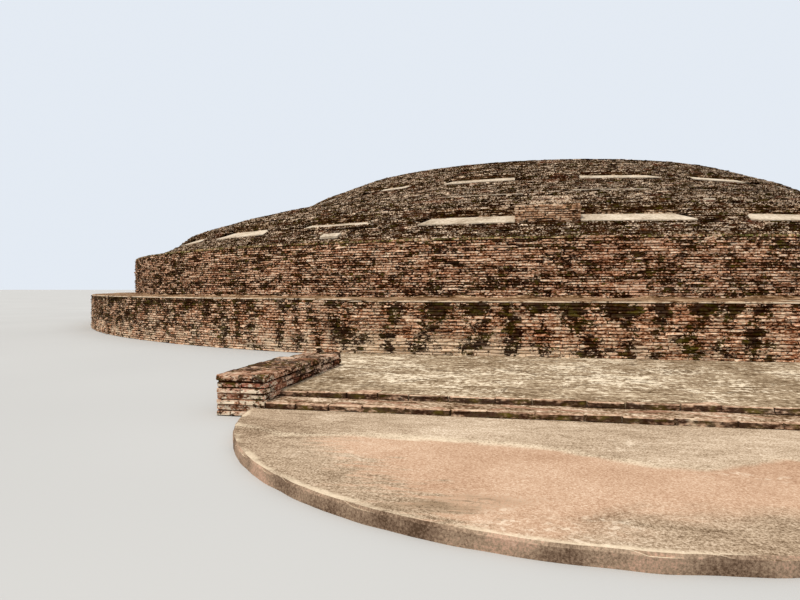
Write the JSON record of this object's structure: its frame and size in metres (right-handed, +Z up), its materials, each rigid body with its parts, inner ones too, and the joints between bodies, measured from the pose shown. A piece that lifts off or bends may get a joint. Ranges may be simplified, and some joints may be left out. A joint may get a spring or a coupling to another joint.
{
  "type": "brick stupa, 1:2 scale model",
  "caption": "Low round brick stupa: basement and drum walls, a stepped dome with recesses, projecting platforms, a front terrace with a step, parapets and a half-round threshold slab",
  "frame": {"origin": "axis of the dome at ground level, in the middle of the drum's flat underside", "axes": "+Z up, -Y towards the front terrace and steps, +X to the right of someone facing the front"},
  "size_m": [23.73, 27.815, 3.56],
  "materials": {
    "wall_brick": "weathered terracotta brick with dark moss stains, matte",
    "dome_brick": "greyed and mossy terracotta brick, matte",
    "step_brick": "worn brick under thin render, matte",
    "screed": "sandy lime screed, matte",
    "cement": "streaked cement render, matte",
    "weathering": "pale cement, matte"
  },
  "bodies": {
    "root": {"drum": "wall_brick", "basement_1": "wall_brick", "basement_2": "wall_brick", "basement_3": "wall_brick", "basement_4": "wall_brick", "basement_5": "wall_brick", "basement_6": "wall_brick", "basement_7": "wall_brick", "basement_8": "wall_brick", "ledge_screed_1": "screed", "ledge_screed_2": "screed", "ledge_screed_3": "screed", "ledge_screed_4": "screed", "ledge_screed_5": "screed", "ledge_screed_6": "screed", "ledge_screed_7": "screed", "ledge_screed_8": "screed", "platform_front": "wall_brick", "platform_screed_front": "screed", "platform_right": "wall_brick", "platform_screed_right": "screed", "platform_back": "wall_brick", "platform_screed_back": "screed", "platform_left": "wall_brick", "platform_screed_left": "screed", "dome_lower_1": "dome_brick", "dome_lower_2": "dome_brick", "dome_lower_3": "dome_brick", "dome_lower_4": "dome_brick", "dome_upper_1": "dome_brick", "dome_upper_2": "dome_brick", "dome_upper_3": "dome_brick", "dome_upper_4": "dome_brick", "dome_upper_5": "dome_brick", "dome_upper_6": "dome_brick", "dome_crown": "dome_brick", "terrace": "cement", "lower_step": "step_brick", "parapet_left_front": "wall_brick", "parapet_left_rear": "wall_brick", "parapet_right_front": "wall_brick", "parapet_right_rear": "wall_brick", "threshold_slab": "cement"}
  },
  "joints": []
}
